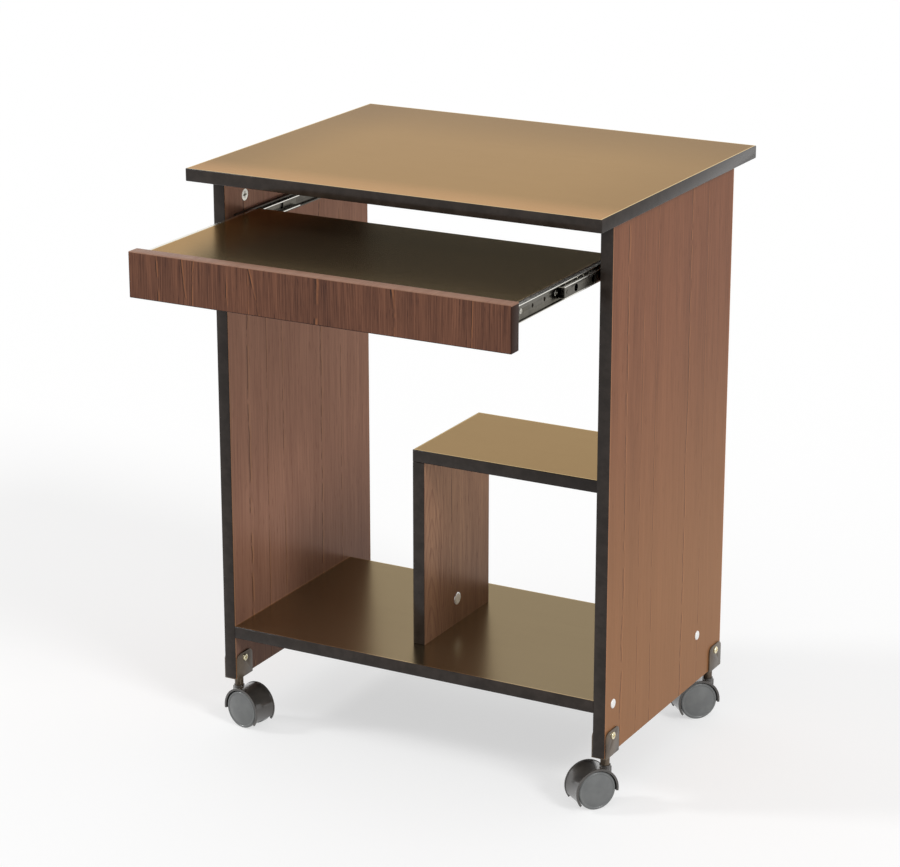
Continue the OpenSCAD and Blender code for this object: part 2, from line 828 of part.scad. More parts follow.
// The plate between the wheels, from the axle up to the hood and the swivel boss
module hood_web() {
    side = trail + boss_r;
    points = [[-side, web_rise], [-side, hood_r], [hood_r, hood_r], [hood_r, -web_drop],
        [web_foot, -web_foot], [-web_foot, -web_foot]];
    intersection() {
        translate([trail, web_t / 2, wheel_r]) rotate([90, 0, 0])
            linear_extrude(height = web_t) polygon(points);
        at_axle() cylinder(h = web_t + 2, r = hood_r, center = true);
    }
}

// The shell over the treads, and the two side rims that reach further down
module hood_outside() {
    intersection() {
        at_axle() cylinder(h = hood_w, r = hood_r, center = true);
        hood_sector(shell_tip_angle);
    }
    intersection() {
        at_axle() for (s = [-1, 1]) translate([0, 0, s * (hood_w - rim_w) / 2])
            cylinder(h = rim_w, r = hood_r + rim_h, center = true);
        hood_sector(rim_tip_angle);
    }
}

module hood(c) {
    pocket_l = (hood_w - web_t) / 2 + 1;
    at_caster(c) color(caster_brown) difference() {
        union() {
            hood_outside();
            hood_web();
            translate([0, 0, boss_z - boss_h]) cylinder(h = boss_h, r = boss_r);
            translate([-boss_r, -web_t / 2, boss_z - pin_l - pin_floor])
                cube([2 * boss_r, web_t, pin_l]);
        }
        at_axle() for (s = [-1, 1]) translate([0, 0, s * (web_t + pocket_l) / 2])
            cylinder(h = pocket_l, r = wheel_r + hood_gap, center = true);
        at_axle() cylinder(h = web_t + 2, r = axle_d / 2 + fit, center = true);
        translate([0, 0, boss_z - pin_l - slip])
            cylinder(h = pin_l + 1, r = pin_d / 2 + fit);
    }
}

module axle(c) {
    at_caster(c) color(zinc) at_axle()
        cylinder(h = 2 * (caster_side - axle_cap), r = axle_d / 2, center = true);
}

// Half section of a wheel: radius, then distance outwards from its inner face
function wheel_profile() =
    let (hub_r = axle_d / 2 + 3, rim_r = wheel_r - 4, recess = 4, shoulder = 1.5, step = 0.6,
        face_r = wheel_r - 3, dome = 3, bore = wheel_w - axle_cap + slip)
    concat(
        [[axle_d / 2 + fit, bore], [axle_d / 2 + fit, 0], [hub_r, 0], [hub_r, recess],
         [rim_r, recess], [rim_r, 0], [wheel_r - shoulder, 0], [wheel_r, shoulder],
         [wheel_r, wheel_w - shoulder], [wheel_r - shoulder, wheel_w],
         [face_r, wheel_w], [face_r - step, wheel_w - step]],
        [for (i = [1 : 7]) let (k = 1 - i / 8, r = (face_r - step) * k)
            [r, wheel_w - step + (dome + step) * (1 - k * k)]],
        [[0, wheel_w + dome], [0, bore]]);

module wheel(c, side) {
    at_caster(c) color(wheel_grey) at_axle() mirror([0, 0, side > 0 ? 0 : 1])
        translate([0, 0, wheel_side]) rotate_extrude($fn = 64) polygon(wheel_profile());
}

top_board();
top_edge_bands();
side_panel("left");  // left_panel
side_panel_bands("left");  // left_panel_edge_bands
side_panel("right");  // right_panel
side_panel_bands("right");  // right_panel_edge_bands
bottom_shelf();
bottom_shelf_edge_bands();
small_shelf();
small_shelf_edge_bands();
upright();
upright_edge_bands();
tray_board();
tray_edge_bands();
tray_fascia();
fascia_edge_bands();
dowels();
cam_housings();
cam_bolts();
cam_cover();
shelf_screws();
screw_caps();
tray_dowels();
tray_cam_housings();
tray_cam_bolts();
cabinet_rail("left");  // cabinet_rail_left
cabinet_rail("right");  // cabinet_rail_right
middle_rail("left");  // middle_rail_left
middle_rail("right");  // middle_rail_right
tray_rail("left");  // tray_rail_left
tray_rail("right");  // tray_rail_right
outer_ball_cages();
outer_balls();
inner_ball_cages();
inner_balls();
cabinet_rail_screws();
tray_rail_screws();
bracket(FRONT_LEFT);  // bracket_front_left
bracket(FRONT_RIGHT);  // bracket_front_right
bracket(BACK_LEFT);  // bracket_back_left
bracket(BACK_RIGHT);  // bracket_back_right
bracket_bolts();
bracket_sleeve_nuts();
caster_stems();
hood(FRONT_LEFT);  // hood_front_left
hood(FRONT_RIGHT);  // hood_front_right
hood(BACK_LEFT);  // hood_back_left
hood(BACK_RIGHT);  // hood_back_right
axle(FRONT_LEFT);  // axle_front_left
axle(FRONT_RIGHT);  // axle_front_right
axle(BACK_LEFT);  // axle_back_left
axle(BACK_RIGHT);  // axle_back_right
wheel(FRONT_LEFT, 1);  // wheel_front_left_a
wheel(FRONT_LEFT, -1);  // wheel_front_left_b
wheel(FRONT_RIGHT, 1);  // wheel_front_right_a
wheel(FRONT_RIGHT, -1);  // wheel_front_right_b
wheel(BACK_LEFT, 1);  // wheel_back_left_a
wheel(BACK_LEFT, -1);  // wheel_back_left_b
wheel(BACK_RIGHT, 1);  // wheel_back_right_a
wheel(BACK_RIGHT, -1);  // wheel_back_right_b
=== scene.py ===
"""Rolling computer table in brown wood-grain laminate, with its keyboard tray pulled out."""

import json
import math

import bmesh
import bpy
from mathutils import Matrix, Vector


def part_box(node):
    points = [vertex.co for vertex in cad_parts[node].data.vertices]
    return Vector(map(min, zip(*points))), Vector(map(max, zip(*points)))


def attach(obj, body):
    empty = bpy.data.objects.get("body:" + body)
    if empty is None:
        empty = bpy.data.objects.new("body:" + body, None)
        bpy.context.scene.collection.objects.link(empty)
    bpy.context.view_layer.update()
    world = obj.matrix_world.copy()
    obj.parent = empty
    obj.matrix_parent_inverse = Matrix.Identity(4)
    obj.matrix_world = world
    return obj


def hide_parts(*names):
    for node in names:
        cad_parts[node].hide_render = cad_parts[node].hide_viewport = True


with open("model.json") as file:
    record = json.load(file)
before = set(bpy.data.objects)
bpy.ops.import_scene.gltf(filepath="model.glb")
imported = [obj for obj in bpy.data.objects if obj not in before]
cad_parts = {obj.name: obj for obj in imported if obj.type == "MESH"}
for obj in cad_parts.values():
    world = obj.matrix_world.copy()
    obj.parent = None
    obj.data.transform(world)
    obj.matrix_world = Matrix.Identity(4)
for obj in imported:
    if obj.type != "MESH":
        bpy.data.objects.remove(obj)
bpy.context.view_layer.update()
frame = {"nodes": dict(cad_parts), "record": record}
nodes = frame["nodes"]
record = frame["record"]
mm = 0.001

# The body of each node of the frame
body_of = {node: body for body, members in record["behaviour"]["bodies"].items() for node in members}

# Nodes that repeat
corners = ["front_left", "front_right", "back_left", "back_right"]
wheel_sides = "ab"
banded_boards = ["top", "left_panel", "right_panel", "bottom_shelf", "small_shelf", "upright", "tray"]
black_bands = [board + "_edge_bands" for board in banded_boards]


# Camera at the photograph's viewing angle: metres, degrees, and millimetres for the lens and sensor

camera_place = (1.641, -3.021, 1.524)
camera_heading = 28.38
camera_dip = 17.89
camera_lens = 115.9
camera_sensor = 36
camera_reach = 60


def make_camera():
    data = bpy.data.cameras.new("camera")
    data.lens = camera_lens
    data.sensor_width = camera_sensor
    data.clip_end = camera_reach
    camera = bpy.data.objects.new("camera", data)
    camera.location = camera_place
    camera.rotation_euler = (math.radians(90 - camera_dip), 0, math.radians(camera_heading))
    bpy.context.scene.collection.objects.link(camera)
    bpy.context.scene.camera = camera


# Node trees written as expressions

# Sockets that share their name with others of the same node, and so go by their place
mix_amount, mix_first, mix_second, mix_result = 0, 6, 7, 2
object_coordinates = 3
camera_ray, reflected_ray, glass_ray = 0, 3, 6

# The thresholds of a soft change between two tones of a cloudy pattern
cloud_low, cloud_high = 0.3, 0.7


class Signal:
    """A socket in a node tree. Sums, products and powers of signals add Math nodes."""

    def __init__(self, graph, socket):
        self.graph = graph
        self.socket = socket

    def math(self, operation, *others, clamp=False):
        settings = {"operation": operation, "use_clamp": clamp}
        return self.graph.node("ShaderNodeMath", settings, dict(enumerate([self, *others])))

    def __add__(self, other):
        return self.math("ADD", other)

    def __radd__(self, other):
        return self.math("ADD", other)

    def __sub__(self, other):
        return self.math("SUBTRACT", other)

    def __rsub__(self, other):
        return self.math("MULTIPLY_ADD", -1.0, other)

    def __mul__(self, other):
        return self.math("MULTIPLY", other)

    def __rmul__(self, other):
        return self.math("MULTIPLY", other)

    def __truediv__(self, other):
        return self.math("DIVIDE", other)

    def __pow__(self, other):
        return self.math("POWER", other)

    def __abs__(self):
        return self.math("ABSOLUTE")

    def step(self, low, high):
        """0 below low and 1 above high, with a smooth rise between them."""
        sockets = {"Value": self, "From Min": low, "From Max": high}
        return self.graph.node("ShaderNodeMapRange", {"interpolation_type": "SMOOTHSTEP"}, sockets)


class Graph:
    """A tree of shader or geometry nodes, which node() adds."""

    def __init__(self, tree):
        self.tree = tree

    def node(self, kind, settings=None, sockets=None, output=0):
        made = self.tree.nodes.new(kind)
        for name, value in (settings or {}).items():
            setattr(made, name, value)
        for name, value in (sockets or {}).items():
            for part in value if isinstance(value, list) else [value]:
                if isinstance(part, Signal):
                    self.tree.links.new(part.socket, made.inputs[name])
                else:
                    made.inputs[name].default_value = part
        return Signal(self, made.outputs[output]) if made.outputs else None

    def point(self, x, y, z):
        return self.node("ShaderNodeCombineXYZ", {}, {0: x, 1: y, 2: z})

    def parts(self, vector):
        return [self.node("ShaderNodeSeparateXYZ", {}, {0: vector}, output=i) for i in range(3)]


class Finish(Graph):
    """The material of one surface."""

    def __init__(self, name):
        self.material = bpy.data.materials.new(name)
        self.material.use_nodes = True
        super().__init__(self.material.node_tree)
        self.tree.nodes.clear()

    def place(self):
        """The point's own coordinates on the object, in metres, as three signals."""
        return self.parts(self.node("ShaderNodeTexCoord", output=object_coordinates))

    def noise(self, x, y, z, detail=2.0, roughness=0.5):
        sockets = {"Vector": self.point(x, y, z), "Scale": 1.0, "Detail": detail, "Roughness": roughness}
        return self.node("ShaderNodeTexNoise", {}, sockets)

    def cloud(self, rate, **settings):
        """Noise that changes alike along all three axes, at a rate in cycles per metre."""
        x, y, z = self.place()
        return self.noise(x * rate, y * rate, z * rate, **settings)

    def blend(self, amount, first, second):
        """A colour between two colours, by an amount from 0 to 1."""
        sockets = {mix_amount: amount, mix_first: first, mix_second: second}
        return self.node("ShaderNodeMix", {"data_type": "RGBA"}, sockets, output=mix_result)

    def mottle(self, pattern, dark, light):
        """Two tones that pass softly into each other where a pattern does."""
        return self.blend(pattern.step(cloud_low, cloud_high), dark, light)

    def bump(self, height, distance, strength):
        return self.node("ShaderNodeBump", {}, {"Height": height, "Distance": distance, "Strength": strength})

    def surface(self, **sockets):
        named = {name.replace("_", " ").title().replace("Ior", "IOR"): sockets[name] for name in sockets}
        shader = self.node("ShaderNodeBsdfPrincipled", {}, named)
        self.node("ShaderNodeOutputMaterial", {}, {"Surface": shader})
        return self.material


def rgb(red, green, blue):
    """A colour given as it looks on a screen, from 0 to 255, as the shader's own linear values.

    The numbers are those of the sRGB curve.
    """
    def linear(level):
        part = level / 255
        return part / 12.92 if part <= 0.04045 else ((part + 0.055) / 1.055) ** 2.4
    return (linear(red), linear(green), linear(blue), 1.0)


# Wood-grain laminate. A rate is in cycles per metre, and a share is a part of the step between two tones

sway_rate_over, sway_rate_along = 9, 1.7
sway_reach = 20 * mm
depth_rate = 3
fibre_rate_along = 11
band_rate_over, band_rate_along = 42, 1.1
pore_rate_along = 48
pore_pitch_share = 0.7
pore_low, pore_high = 0.6, 0.74
pore_share = 0.35

# The arched growth rings: how they curve, their pitch, and the dark rise and quick fall of each
ring_curve = 1.6
ring_rate = 26
ring_sway = 12
ring_start, ring_peak = 0.55, 0.93
ring_share = 0.34

# How much a streak wanders, in widths, and where it breaks off. The shifts keep two streaks from
# wandering or breaking alike
wander_rate = 16
wander_shift = 90
wander_widths = 6
break_rate = 45
break_shift = 70
break_low, break_high = 0.38, 0.56

# A streak across, in widths: its dark line, and the light line beside it
dark_core, dark_edge = 0.3, 1.0
light_place = 1.5
light_core, light_edge = 0.4, 1.2

# How far a streak is cut into the face, in fibre heights, and how the fibres and pores dull it
streak_cut = 1.5
bump_reach = 0.1 * mm
fibre_dulling = 0.12
pore_dulling = 0.05

# The painted highlight along a board's edges, and the painted shade on its underside
highlight_full, highlight_gone = 0.9 * mm, 1.9 * mm
highlight_share = 0.85
painted_shade_edge, face_edge = 0.1 * mm, 0.2 * mm
underside_roughness = 0.6


def streak(finish, over, run, place, lean, width, seed):
    """A thin broken line along the grain: how dark it is, and how light the line beside it is."""
    wave = finish.noise(run * wander_rate, seed, place * wander_shift, detail=3.0)
    wander = (wave - 0.5) * (wander_widths * width)
    offset = over - place - run * lean - wander
    gaps = finish.noise(run * break_rate, seed + 3, place * break_shift, detail=2.0)
    broken = gaps.step(break_low, break_high)
    dark = 1 - abs(offset).step(width * dark_core, width * dark_edge)
    light = 1 - abs(offset - width * light_place).step(width * light_core, width * light_edge)
    return dark * broken, light * broken


def laminate(name, across, along, tones, seed, fibre_pitch=3.4 * mm, fibre_share=1.5, band_share=1.1,
             contrast=0.9, streaks=(), ink=0.8, partner=0.35, arch=None, fades=(), outline=(), gloss=0.3,
             roughness=0.3, level=0.25, relief=0.35, edge_tint=(1.0, 1.0, 1.0, 1.0), underside=None):
    """Printed wood grain. across and along name the axes over and along the grain.

    ink is how much of a streak's dark line shows, and partner how much of the light line beside it. fades
    lists painted light and shade: slow changes of tone, each an axis, the places where it is full and where
    it is gone, a colour and an amount. outline lists the board's edges, each an axis and a place, where a
    light line is painted along the edge as a highlight.
    arch gives the growth rings' middle, height and spread, and underside the height of the lower face, which
    is painted dark as shade.
    """
    finish = Finish(name)
    axes = dict(zip("xyz", finish.place()))
    over = axes[across]
    run = axes[along]
    depth = axes[({"x", "y", "z"} - {across, along}).pop()] * depth_rate
    sway = (finish.noise(over * sway_rate_over, run * sway_rate_along, depth + seed) - 0.5) * sway_reach
    grain = over + sway

    fibre = finish.noise(grain / fibre_pitch, run * fibre_rate_along, depth + seed, detail=3.0,
                         roughness=0.62)
    band = finish.noise(grain * band_rate_over, run * band_rate_along, depth + seed + 5, detail=3.0,
                        roughness=0.6)
    dots = finish.noise(grain / (fibre_pitch * pore_pitch_share), run * pore_rate_along, depth + seed + 7,
                        detail=1.0)
    pores = dots.step(pore_low, pore_high)
    tone = (0.5 + (fibre - 0.5) * (fibre_share * contrast) + (band - 0.5) * (band_share * contrast)
            - pores * (pore_share * contrast))
    if arch:
        centre, rise, spread = arch
        shape = run - rise - abs(grain - centre) ** ring_curve * (-spread)
        ring = (shape * ring_rate + sway * ring_sway).math("FRACT")
        rings = ring.step(ring_start, ring_peak) * (1 - ring.step(ring_peak, 1.0))
        tone = tone - rings * (ring_share * contrast)
    shade, light, dark_line, light_line_and_highlight = tones
    colour = finish.blend(tone.math("MAXIMUM", 0.0, clamp=True), shade, light)
    # Painted light and shade: slow changes of tone across the board
    for axis, full, gone, tint, amount in fades:
        colour = finish.blend(axes[axis].step(gone, full) * amount, colour, tint)
    height = fibre
    for place, lean, width in streaks:
        dark, bright = streak(finish, over, run, place, lean, width, seed)
        colour = finish.blend(bright * partner, colour, light_line_and_highlight)
        colour = finish.blend(dark * ink, colour, dark_line)
        height = height - dark * (streak_cut * ink)
    # Painted highlight: a light line along the board's edges
    for axis, edge in outline:
        cut = 1 - abs(axes[axis] - edge).step(highlight_full, highlight_gone)
        colour = finish.blend(cut * highlight_share, colour, light_line_and_highlight)
    normal = finish.bump(height, bump_reach, relief)
    rough = roughness + ((0.5 - fibre) * fibre_dulling + pores * pore_dulling) * contrast
    # Painted shade: the underside is coloured dark, as if no light reached it
    if underside:
        faced = axes["z"].step(underside + painted_shade_edge, underside + face_edge)
        colour = finish.blend(faced, painted_shade_underside, colour)
        rough = rough * faced + (1 - faced) * underside_roughness
        gloss = faced * gloss
    return finish.surface(base_color=colour, roughness=rough, normal=normal, metallic=gloss,
                          specular_ior_level=level, specular_tint=edge_tint)


def edge_plastic():
    finish = Finish("black edge band")
    scuff = finish.cloud(60, detail=4.0, roughness=0.6)
    texture = finish.cloud(1800)
    colour = finish.mottle(scuff, rgb(46, 39, 34), rgb(60, 52, 47))
    normal = finish.bump(texture, distance=0.05 * mm, strength=0.1)
    return finish.surface(base_color=colour, roughness=0.22 + (scuff - 0.5) * 0.08, normal=normal,
                          specular_ior_level=0.22)


# Plated steel: its marks' rates in cycles per metre, its dull parts against its bright ones, and the
# painted highlight on a rail's lips
mark_rate_along, mark_rate_across = 40.0, 2200.0
dull_share = 0.66
lip_highlight_fade = 0.3 * mm
lip_highlight_steel = rgb(236, 234, 226)


def plated_steel(name, colour, roughness, along="y", painted_highlight_lips=None):
    """Zinc-plated steel with fine marks that run along one axis.

    The last argument gives the height of a rail's middle, and how far above and below it the painted
    highlight on the lips begins.
    """
    finish = Finish(name)
    axes = dict(zip("xyz", finish.place()))
    rate = {axis: mark_rate_along if axis == along else mark_rate_across for axis in "xyz"}
    lines = finish.noise(*[axes[axis] * rate[axis] for axis in "xyz"])
    cloud = finish.cloud(90, detail=4.0, roughness=0.6)
    darker = tuple(level * dull_share for level in colour[:3]) + (1.0,)
    shade = finish.blend((lines * 0.4 + cloud * 0.6).step(0.38, 0.62), darker, colour)
    if painted_highlight_lips:
        middle, reach = painted_highlight_lips
        # Painted highlight on the rail's top and bottom lips
        lip_highlight = abs(axes["z"] - middle).step(reach, reach + lip_highlight_fade)
        shade = finish.blend(lip_highlight, shade, lip_highlight_steel)
    return finish.surface(base_color=shade, metallic=1.0, roughness=roughness + (cloud - 0.5) * 0.2,
                          normal=finish.bump(lines, distance=0.05 * mm, strength=0.2))


def moulded_plastic(name, dark, light, roughness, coat=0.0, gloss=0.0):
    """Plastic with a faint grain and slow cloudy changes of tone."""
    finish = Finish(name)
    cloud = finish.cloud(70, detail=3.0)
    grain = finish.cloud(2600, detail=1.0)
    colour = finish.mottle(cloud, dark, light)
    return finish.surface(base_color=colour, roughness=roughness + (cloud - 0.5) * 0.12,
                          normal=finish.bump(grain, distance=0.06 * mm, strength=0.25), metallic=gloss,
                          coat_weight=coat, coat_roughness=0.12)


def painted_steel():
    finish = Finish("dark brown paint")
    cloud = finish.cloud(50, detail=4.0)
    peel = finish.cloud(700)
    colour = finish.mottle(cloud, rgb(82, 70, 58), rgb(110, 96, 80))
    return finish.surface(base_color=colour, roughness=0.3 + (cloud - 0.5) * 0.2, metallic=0.4,
                          normal=finish.bump(peel, distance=0.1 * mm, strength=0.15))


def raw_beech():
    finish = Finish("beech")
    fleck = finish.cloud(500)
    colour = finish.blend(fleck, rgb(176, 138, 92), rgb(214, 182, 136))
    return finish.surface(base_color=colour, roughness=0.6 + (fleck - 0.5) * 0.1)


def dress(material, *names):
    """Puts one material on all the slots of the named nodes."""
    for name in names:
        mesh = nodes[name].data
        mesh.materials.clear()
        mesh.materials.append(material)


# Tones of the laminate: shade, light, dark line, light line (beside streaks, and the painted highlight along
# edges).
# The boards share one laminate. Each board's tones are a copy made lighter and darker for the light on it, as
# painted light and shade; the tray's are dark and grey as painted shade
top_tones = (rgb(148, 109, 66), rgb(160, 121, 76), rgb(112, 84, 56), rgb(244, 218, 172))
shelf_tones = (rgb(146, 117, 84), rgb(158, 129, 94), rgb(112, 84, 56), rgb(222, 196, 150))
tray_shaded_tones = (rgb(126, 108, 84), rgb(138, 120, 95), rgb(100, 88, 60), rgb(222, 196, 150))
bottom_tones = (rgb(127, 112, 92), rgb(140, 125, 103), rgb(96, 80, 56), rgb(200, 176, 140))
panel_tones = (rgb(104, 60, 41), rgb(160, 104, 74), rgb(60, 32, 20), rgb(196, 132, 88))
left_tones = (rgb(138, 91, 73), rgb(211, 158, 130), rgb(60, 38, 28), rgb(196, 142, 100))
upright_tones = (rgb(133, 90, 68), rgb(204, 157, 121), rgb(56, 36, 26), rgb(200, 150, 106))
front_tones = (rgb(64, 35, 26), rgb(142, 94, 70), rgb(34, 18, 13), rgb(172, 112, 72))
front_edge_tones = (rgb(130, 94, 78), rgb(176, 138, 116), rgb(70, 44, 34), rgb(200, 166, 140))
# Painted shade and painted sheen for the worktop's edges
painted_shade_russet = rgb(98, 56, 32)
painted_sheen_peach = rgb(214, 160, 116)
# Painted light towards the right panel's foot
painted_light_tan = rgb(176, 128, 84)
# Painted shade towards the left panel's and upright's feet
painted_shade_umber = rgb(78, 64, 60)
# Painted shadow on the tray front's edging
painted_shadow_walnut = rgb(46, 30, 24)
# Painted warmth of light: the boards' reflections are tinted warm in the material
flat_tint = (0.87, 0.78, 0.6, 1.0)
panel_tint = (1.0, 0.84, 0.68, 1.0)
# Painted shade: the dark bluish colour of the boards' undersides
painted_shade_underside = rgb(36, 43, 49)

# Streaks of the side panels: distance behind the front edge, lean, width
panel_streaks = ((44 * mm, 0.0, 2.0 * mm), (222 * mm, 0.004, 1.8 * mm), (129 * mm, -0.003, 1.1 * mm),
                 (88 * mm, 0.002, 1.0 * mm), (276 * mm, -0.002, 1.0 * mm))
# Streaks of the tray's front: distance from its middle, lean, width
front_streaks = ((-197 * mm, 0.05, 0.9 * mm), (-187 * mm, -0.04, 1.2 * mm), (-130 * mm, 0.02, 1.0 * mm),
                 (-110 * mm, -0.1, 1.1 * mm), (-89 * mm, 0.0, 0.8 * mm), (-18 * mm, 0.03, 1.8 * mm),
                 (64 * mm, -0.22, 1.2 * mm), (148 * mm, -0.07, 1.7 * mm), (189 * mm, 0.02, 0.8 * mm))


def behind(front, streaks):
    return [(front + place, lean, width) for place, lean, width in streaks]


def outline_of(name, axes):
    """The sides of a node's box across the given axes."""
    return [(axis, corner["xyz".index(axis)]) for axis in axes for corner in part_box(name)]


def dress_flat_boards():
    low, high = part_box("top_board")
    # Painted light on the worktop: russet shade towards its left, right and back edges, and a peach sheen
    # along its front
    top_painted_light = [("x", low[0], low[0] + 120 * mm, painted_shade_russet, 0.45),
                 ("x", high[0], high[0] - 140 * mm, painted_shade_russet, 0.2),
                 ("y", high[1], high[1] - 190 * mm, painted_shade_russet, 0.55),
                 ("y", low[1], low[1] + 70 * mm, painted_sheen_peach, 0.5)]
    # Painted reflection: the tray's left end takes the worktop's light tan, for the bright surroundings it
    # mirrors
    tray_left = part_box("tray_board")[0][0]
    tray_painted_reflection = [("x", tray_left, tray_left + 110 * mm, top_tones[1], 1.0)]
    flats = (("top_board", 1.0, top_tones, top_painted_light), ("bottom_shelf", 8.0, bottom_tones, ()),
             ("small_shelf", 11.0, shelf_tones, ()), ("tray_board", 16.0, tray_shaded_tones, tray_painted_reflection))
    for name, seed, tones, fades in flats:
        dress(laminate(name + " laminate", "y", "x", tones, seed, contrast=0.25, gloss=0.92, roughness=0.25,
                       relief=0.0, fades=fades, outline=outline_of(name, "xy"), edge_tint=flat_tint,
                       underside=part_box(name)[0][2]), name)


def dress_standing_boards():
    panel_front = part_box("right_panel_edge_bands")[0][1]
    upright_low, upright_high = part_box("upright")
    shelf_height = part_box("bottom_shelf")[0][2]
    # Painted light: the right panel turns tan towards its foot
    painted_light_foot = ("z", shelf_height, 660 * mm, painted_light_tan, 0.55)
    # Painted shade: the left panel and the upright darken towards their feet
    painted_shade_foot = ("z", shelf_height - 40 * mm, shelf_height + 220 * mm, painted_shade_umber, 0.6)
    for name, seed, tones, foot in (("right_panel", 3.0, panel_tones, painted_light_foot),
                                    ("left_panel", 6.0, left_tones, painted_shade_foot)):
        dress(laminate(name + " laminate", "y", "z", tones, seed, contrast=0.5, fades=[foot], gloss=0.16,
                       level=0.08, streaks=behind(panel_front, panel_streaks), ink=0.55,
                       outline=outline_of(name, "y"), edge_tint=panel_tint), name)
    arch = (upright_low[1] + 20 * mm, upright_high[2], 40.0)
    upright_streaks = [(upright_low[1] + 72 * mm, 0.0, 1.0 * mm)]
    dress(laminate("upright laminate", "y", "z", upright_tones, 13.0, contrast=0.7, arch=arch,
                   fades=[painted_shade_foot], level=0.12, streaks=upright_streaks, edge_tint=panel_tint), "upright")


def dress_tray_front():
    dress(laminate("walnut front", "x", "z", front_tones, 21.0, fibre_pitch=1.7 * mm, fibre_share=1.9,
                   band_share=0.9, partner=0.6, streaks=front_streaks, gloss=0.1,
                   roughness=0.36, relief=0.7), "tray_fascia")
    front_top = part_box("fascia_edge_bands")[1][2]
    # Painted shadow: the edging turns dark below the top 1.2 to 2 mm of the tray front
    painted_shadow_ends = ("z", front_top - 2.0 * mm, front_top - 1.2 * mm, painted_shadow_walnut, 0.95)
    dress(laminate("walnut edging", "x", "z", front_edge_tones, 23.0, fibre_pitch=1.7 * mm, contrast=0.5,
                   gloss=0.1, fades=[painted_shadow_ends], roughness=0.4, level=0.06), "fascia_edge_bands")


def dress_fittings():
    dress(edge_plastic(), *black_bands)
    for section in ("middle", "tray"):
        low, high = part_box(section + "_rail_left")
        lips = ((low[2] + high[2]) / 2, (high[2] - low[2]) / 2 - 1.2 * mm)
        dress(plated_steel(section + " rail steel", rgb(104, 100, 90), 0.26, painted_highlight_lips=lips),
              section + "_rail_left", section + "_rail_right")
    dress(plated_steel("shaded steel", rgb(92, 88, 80), 0.3), "cabinet_rail_left", "cabinet_rail_right",
          "outer_ball_cages", "inner_ball_cages")
    dress(plated_steel("zinc plate", rgb(214, 211, 200), 0.24), "cam_housings", "cam_bolts",
          "tray_cam_housings", "tray_cam_bolts", "shelf_screws", "cabinet_rail_screws", "tray_rail_screws",
          "outer_balls", "inner_balls", *["axle_" + corner for corner in corners])
    dress(plated_steel("yellow zinc plate", rgb(252, 242, 206), 0.24), "bracket_bolts", "bracket_sleeve_nuts")
    dress(raw_beech(), "dowels", "tray_dowels")
    dress(moulded_plastic("white plastic", rgb(250, 250, 248), rgb(255, 255, 254), 0.3, gloss=0.5),
          "cam_cover", "screw_caps")
    dress(painted_steel(), "caster_stems", *["bracket_" + corner for corner in corners])
    dress(moulded_plastic("dark brown plastic", rgb(50, 46, 42), rgb(64, 59, 54), 0.34, 1.0),
          *["hood_" + corner for corner in corners])
    dress(moulded_plastic("dark grey nylon", rgb(110, 112, 112), rgb(120, 122, 121), 0.34, 0.4),
          *[f"wheel_{corner}_{side}" for corner in corners for side in wheel_sides])


# Pieces whose edges are rounded

joined_within = 0.001 * mm
on_side_within = 0.01 * mm
flat_angle = math.radians(0.5)
sharp_angle = math.radians(40)
smooth_angle = math.radians(35)


def stand_in(name, mesh, *replaced):
    """A finished piece that stands for nodes of the frame and moves with their body."""
    piece = bpy.data.objects.new(name, mesh)
    bpy.context.scene.collection.objects.link(piece)
    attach(piece, body_of[replaced[0]])
    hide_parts(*replaced)
    return piece


def merged_copy(name):
    """A node's mesh as a bmesh, with its loose triangles joined and its flat faces made whole."""
    shape = bmesh.new()
    shape.from_mesh(nodes[name].data)
    bmesh.ops.remove_doubles(shape, verts=shape.verts, dist=joined_within)
    bmesh.ops.dissolve_limit(shape, angle_limit=flat_angle, verts=shape.verts, edges=shape.edges)
    return shape


def on_outline(edge, low, high):
    """Whether an edge lies on two sides of the node's box at once."""
    middle = (edge.verts[0].co + edge.verts[1].co) / 2
    gaps = [min(abs(middle[i] - low[i]), abs(middle[i] - high[i])) for i in range(3)]
    return sum(gap < on_side_within for gap in gaps) > 1


def soften(name, width, outline_only=False, segments=2):
    """Rounds the sharp edges of a copy of a node, and lets the copy stand for it."""
    low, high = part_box(name)
    shape = merged_copy(name)
    edges = [e for e in shape.edges if len(e.link_faces) == 2 and e.calc_face_angle() > sharp_angle
             and (on_outline(e, low, high) or not outline_only)]
    bmesh.ops.bevel(shape, geom=edges, offset=width, offset_type="OFFSET", segments=segments,
                    profile=0.5, affect="EDGES", clamp_overlap=True)
    mesh = bpy.data.meshes.new(name + "_rounded")
    mesh.materials.append(nodes[name].data.materials[0])
    shape.to_mesh(mesh)
    shape.free()
    mesh.shade_smooth()
    mesh.set_sharp_from_angle(angle=smooth_angle)
    return stand_in(name + "_rounded", mesh, name)


def soften_all():
    for band in [*black_bands, "fascia_edge_bands"]:
        soften(band, 0.9 * mm, outline_only=True)
    for corner in corners:
        soften("bracket_" + corner, 0.6 * mm)
        soften("hood_" + corner, 0.85 * mm, segments=3)
        for side in wheel_sides:
            soften(f"wheel_{corner}_{side}", 0.3 * mm)
    for section in ("cabinet", "middle", "tray"):
        for side in ("left", "right"):
            soften(f"{section}_rail_{side}", 0.25 * mm, segments=1)


# Fittings that repeat, set out by geometry nodes

drum_grid = {"Vertices": 32, "Side Segments": 8, "Fill Segments": 3}
dome_power = 4.0
dome_least = 0.01
head_dome = 0.8
cap_dome = 0.75
# The recess's bars against the head: how far they reach, and how high they lie
recess_reach = 1.1
recess_lift = 1.05


